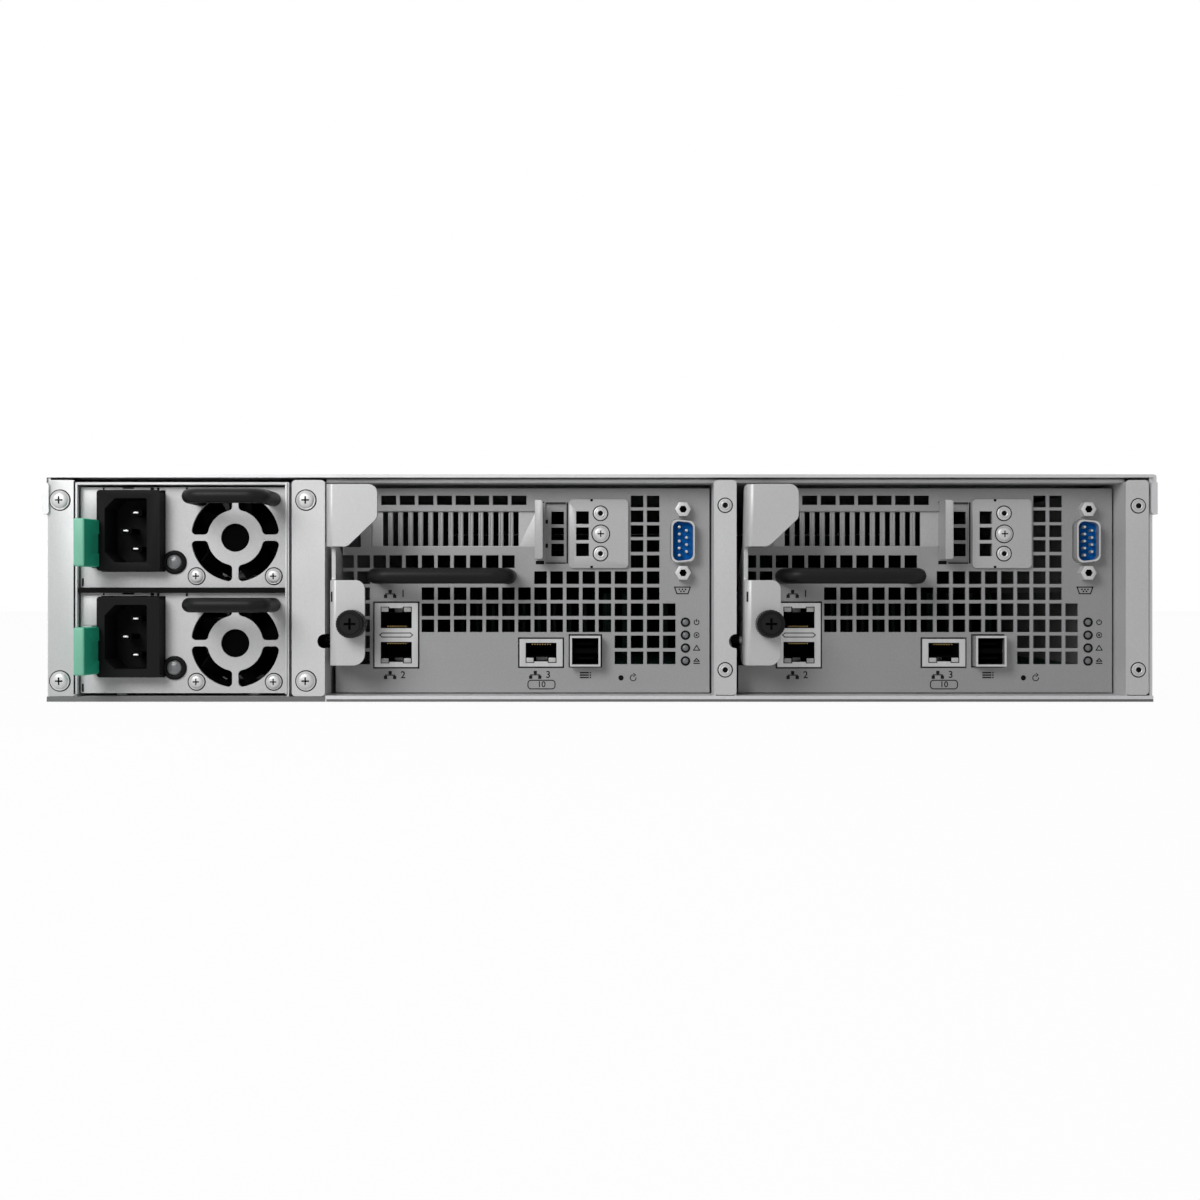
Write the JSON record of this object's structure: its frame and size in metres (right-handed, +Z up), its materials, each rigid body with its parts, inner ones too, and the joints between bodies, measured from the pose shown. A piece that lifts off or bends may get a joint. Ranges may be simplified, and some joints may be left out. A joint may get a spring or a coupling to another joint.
{
  "type": "san storage array",
  "caption": "Two-unit rack storage array with slide-out controllers, redundant power supplies, front drive trays and rack ears.",
  "frame": {"origin": "under the middle of the chassis, on the plane of its flat underside", "axes": "+X to the right seen from the port side, +Y from the ports to the drive trays, +Z up"},
  "size_m": [0.482, 0.7455, 0.088],
  "materials": {
    "chassis_sheet": "plain galvanised sheet, satin",
    "strip_sheet": "plain galvanised sheet, satin",
    "face_sheet": "plain galvanised sheet, satin",
    "lever_sheet": "plain galvanised sheet, satin",
    "psu_sheet": "plain galvanised sheet, satin",
    "port_shell": "bright plated shields with dark sockets",
    "circuit_board": "satin circuit board",
    "ear_black": "black anodised",
    "button_plastic": "satin",
    "black_plastic": "matte moulded",
    "black_handle": "satin coated bar",
    "green_plastic": "satin moulded",
    "fan_plastic": "matte moulded",
    "tray_body": "satin black",
    "lever_black": "satin"
  },
  "bodies": {
    "chassis": {"chassis_base": "chassis_sheet", "top_cover": "chassis_sheet", "psu_cage": "strip_sheet", "bay_frame": "strip_sheet", "drive_cage": "chassis_sheet", "backplane": "circuit_board", "power_board": "circuit_board", "rack_ear_left": "ear_black", "rack_ear_right": "ear_black"},
    "power_button": {"power_button": "button_plastic"},
    "psu_lower": {"psu_lower_case": "psu_sheet", "psu_lower_inlet": "black_plastic", "psu_lower_handle": "black_handle"},
    "psu_lower_latch": {"psu_lower_latch": "green_plastic"},
    "psu_lower_rotor": {"psu_lower_rotor": "fan_plastic"},
    "psu_upper": {"psu_upper_case": "psu_sheet", "psu_upper_inlet": "black_plastic", "psu_upper_handle": "black_handle"},
    "psu_upper_latch": {"psu_upper_latch": "green_plastic"},
    "psu_upper_rotor": {"psu_upper_rotor": "fan_plastic"},
    "controller_a": {"controller_a_tray": "face_sheet", "controller_a_board": "circuit_board", "controller_a_ports": "port_shell", "controller_a_slot_cover": "face_sheet", "controller_a_handle": "black_handle"},
    "controller_a_lever": {"controller_a_lever": "lever_sheet"},
    "controller_a_thumbscrew": {"controller_a_thumbscrew": "black_plastic"},
    "controller_a_rotor": {"controller_a_rotor": "fan_plastic"},
    "controller_b": {"controller_b_tray": "face_sheet", "controller_b_board": "circuit_board", "controller_b_ports": "port_shell", "controller_b_slot_cover": "face_sheet", "controller_b_handle": "black_handle"},
    "controller_b_lever": {"controller_b_lever": "lever_sheet"},
    "controller_b_thumbscrew": {"controller_b_thumbscrew": "black_plastic"},
    "controller_b_rotor": {"controller_b_rotor": "fan_plastic"},
    "drive_tray_1": {"drive_tray_1": "tray_body"},
    "tray_lever_1": {"tray_lever_1": "lever_black"},
    "drive_tray_2": {"drive_tray_2": "tray_body"},
    "tray_lever_2": {"tray_lever_2": "lever_black"},
    "drive_tray_3": {"drive_tray_3": "tray_body"},
    "tray_lever_3": {"tray_lever_3": "lever_black"},
    "drive_tray_4": {"drive_tray_4": "tray_body"},
    "tray_lever_4": {"tray_lever_4": "lever_black"},
    "drive_tray_5": {"drive_tray_5": "tray_body"},
    "tray_lever_5": {"tray_lever_5": "lever_black"},
    "drive_tray_6": {"drive_tray_6": "tray_body"},
    "tray_lever_6": {"tray_lever_6": "lever_black"},
    "drive_tray_7": {"drive_tray_7": "tray_body"},
    "tray_lever_7": {"tray_lever_7": "lever_black"},
    "drive_tray_8": {"drive_tray_8": "tray_body"},
    "tray_lever_8": {"tray_lever_8": "lever_black"},
    "drive_tray_9": {"drive_tray_9": "tray_body"},
    "tray_lever_9": {"tray_lever_9": "lever_black"},
    "drive_tray_10": {"drive_tray_10": "tray_body"},
    "tray_lever_10": {"tray_lever_10": "lever_black"},
    "drive_tray_11": {"drive_tray_11": "tray_body"},
    "tray_lever_11": {"tray_lever_11": "lever_black"},
    "drive_tray_12": {"drive_tray_12": "tray_body"},
    "tray_lever_12": {"tray_lever_12": "lever_black"}
  },
  "joints": [
    {"name": "power_button_press", "type": "slide", "parent": "chassis", "child": "power_button", "axis": [0, -1, 0], "range_m": [0, 0.001], "stiffness_N_per_m": 400},
    {"name": "psu_lower_slide", "type": "slide", "parent": "chassis", "child": "psu_lower", "axis": [0, -1, 0], "range_m": [0, 0.235]},
    {"name": "psu_lower_latch_swing", "type": "hinge", "parent": "psu_lower", "child": "psu_lower_latch", "pos_m": [-0.19645, -0.3205, 0.02005], "axis": [0, 0, 1], "range_deg": [0, 3], "stiffness_Nm_per_rad": 0.6},
    {"name": "psu_lower_fan_spin", "type": "hinge", "parent": "psu_lower", "child": "psu_lower_rotor", "pos_m": [-0.14185, -0.3325, 0.0226], "axis": [0, 1, 0], "continuous": true},
    {"name": "psu_upper_slide", "type": "slide", "parent": "chassis", "child": "psu_upper", "axis": [0, -1, 0], "range_m": [0, 0.235]},
    {"name": "psu_upper_latch_swing", "type": "hinge", "parent": "psu_upper", "child": "psu_upper_latch", "pos_m": [-0.19645, -0.3205, 0.0611], "axis": [0, 0, 1], "range_deg": [0, 3], "stiffness_Nm_per_rad": 0.6},
    {"name": "psu_upper_fan_spin", "type": "hinge", "parent": "psu_upper", "child": "psu_upper_rotor", "pos_m": [-0.14185, -0.3325, 0.06365], "axis": [0, 1, 0], "continuous": true},
    {"name": "controller_a_slide", "type": "slide", "parent": "chassis", "child": "controller_a", "axis": [0, -1, 0], "range_m": [0, 0.48]},
    {"name": "controller_a_lever_swing", "type": "hinge", "parent": "controller_a", "child": "controller_a_lever", "pos_m": [-0.1045, -0.3372, 0.0239], "axis": [1, 0, 0], "range_deg": [0, 55]},
    {"name": "controller_a_thumbscrew_turn", "type": "hinge", "parent": "controller_a_lever", "child": "controller_a_thumbscrew", "pos_m": [-0.0945, -0.3524, 0.0303], "axis": [0, 1, 0], "continuous": true},
    {"name": "controller_a_fan_spin", "type": "hinge", "parent": "controller_a", "child": "controller_a_rotor", "pos_m": [-0.0306, 0.0568, 0.0426], "axis": [0, 1, 0], "continuous": true},
    {"name": "controller_b_slide", "type": "slide", "parent": "chassis", "child": "controller_b", "axis": [0, -1, 0], "range_m": [0, 0.48]},
    {"name": "controller_b_lever_swing", "type": "hinge", "parent": "controller_b", "child": "controller_b_lever", "pos_m": [0.0547, -0.3372, 0.0239], "axis": [1, 0, 0], "range_deg": [0, 55]},
    {"name": "controller_b_thumbscrew_turn", "type": "hinge", "parent": "controller_b_lever", "child": "controller_b_thumbscrew", "pos_m": [0.0647, -0.3524, 0.0303], "axis": [0, 1, 0], "continuous": true},
    {"name": "controller_b_fan_spin", "type": "hinge", "parent": "controller_b", "child": "controller_b_rotor", "pos_m": [0.1286, 0.0568, 0.0426], "axis": [0, 1, 0], "continuous": true},
    {"name": "drive_tray_1_slide", "type": "slide", "parent": "chassis", "child": "drive_tray_1", "axis": [0, 1, 0], "range_m": [0, 0.155]},
    {"name": "tray_lever_1_swing", "type": "hinge", "parent": "drive_tray_1", "child": "tray_lever_1", "pos_m": [-0.2066, 0.3435, 0.01573], "axis": [0, 0, 1], "range_deg": [0, 75]},
    {"name": "drive_tray_2_slide", "type": "slide", "parent": "chassis", "child": "drive_tray_2", "axis": [0, 1, 0], "range_m": [0, 0.155]},
    {"name": "tray_lever_2_swing", "type": "hinge", "parent": "drive_tray_2", "child": "tray_lever_2", "pos_m": [-0.1004, 0.3435, 0.01573], "axis": [0, 0, 1], "range_deg": [0, 75]},
    {"name": "drive_tray_3_slide", "type": "slide", "parent": "chassis", "child": "drive_tray_3", "axis": [0, 1, 0], "range_m": [0, 0.155]},
    {"name": "tray_lever_3_swing", "type": "hinge", "parent": "drive_tray_3", "child": "tray_lever_3", "pos_m": [0.0058, 0.3435, 0.01573], "axis": [0, 0, 1], "range_deg": [0, 75]},
    {"name": "drive_tray_4_slide", "type": "slide", "parent": "chassis", "child": "drive_tray_4", "axis": [0, 1, 0], "range_m": [0, 0.155]},
    {"name": "tray_lever_4_swing", "type": "hinge", "parent": "drive_tray_4", "child": "tray_lever_4", "pos_m": [0.112, 0.3435, 0.01573], "axis": [0, 0, 1], "range_deg": [0, 75]},
    {"name": "drive_tray_5_slide", "type": "slide", "parent": "chassis", "child": "drive_tray_5", "axis": [0, 1, 0], "range_m": [0, 0.155]},
    {"name": "tray_lever_5_swing", "type": "hinge", "parent": "drive_tray_5", "child": "tray_lever_5", "pos_m": [-0.2066, 0.3435, 0.044], "axis": [0, 0, 1], "range_deg": [0, 75]},
    {"name": "drive_tray_6_slide", "type": "slide", "parent": "chassis", "child": "drive_tray_6", "axis": [0, 1, 0], "range_m": [0, 0.155]},
    {"name": "tray_lever_6_swing", "type": "hinge", "parent": "drive_tray_6", "child": "tray_lever_6", "pos_m": [-0.1004, 0.3435, 0.044], "axis": [0, 0, 1], "range_deg": [0, 75]},
    {"name": "drive_tray_7_slide", "type": "slide", "parent": "chassis", "child": "drive_tray_7", "axis": [0, 1, 0], "range_m": [0, 0.155]},
    {"name": "tray_lever_7_swing", "type": "hinge", "parent": "drive_tray_7", "child": "tray_lever_7", "pos_m": [0.0058, 0.3435, 0.044], "axis": [0, 0, 1], "range_deg": [0, 75]},
    {"name": "drive_tray_8_slide", "type": "slide", "parent": "chassis", "child": "drive_tray_8", "axis": [0, 1, 0], "range_m": [0, 0.155]},
    {"name": "tray_lever_8_swing", "type": "hinge", "parent": "drive_tray_8", "child": "tray_lever_8", "pos_m": [0.112, 0.3435, 0.044], "axis": [0, 0, 1], "range_deg": [0, 75]},
    {"name": "drive_tray_9_slide", "type": "slide", "parent": "chassis", "child": "drive_tray_9", "axis": [0, 1, 0], "range_m": [0, 0.155]},
    {"name": "tray_lever_9_swing", "type": "hinge", "parent": "drive_tray_9", "child": "tray_lever_9", "pos_m": [-0.2066, 0.3435, 0.07227], "axis": [0, 0, 1], "range_deg": [0, 75]},
    {"name": "drive_tray_10_slide", "type": "slide", "parent": "chassis", "child": "drive_tray_10", "axis": [0, 1, 0], "range_m": [0, 0.155]},
    {"name": "tray_lever_10_swing", "type": "hinge", "parent": "drive_tray_10", "child": "tray_lever_10", "pos_m": [-0.1004, 0.3435, 0.07227], "axis": [0, 0, 1], "range_deg": [0, 75]},
    {"name": "drive_tray_11_slide", "type": "slide", "parent": "chassis", "child": "drive_tray_11", "axis": [0, 1, 0], "range_m": [0, 0.155]},
    {"name": "tray_lever_11_swing", "type": "hinge", "parent": "drive_tray_11", "child": "tray_lever_11", "pos_m": [0.0058, 0.3435, 0.07227], "axis": [0, 0, 1], "range_deg": [0, 75]},
    {"name": "drive_tray_12_slide", "type": "slide", "parent": "chassis", "child": "drive_tray_12", "axis": [0, 1, 0], "range_m": [0, 0.155]},
    {"name": "tray_lever_12_swing", "type": "hinge", "parent": "drive_tray_12", "child": "tray_lever_12", "pos_m": [0.112, 0.3435, 0.07227], "axis": [0, 0, 1], "range_deg": [0, 75]}
  ]
}
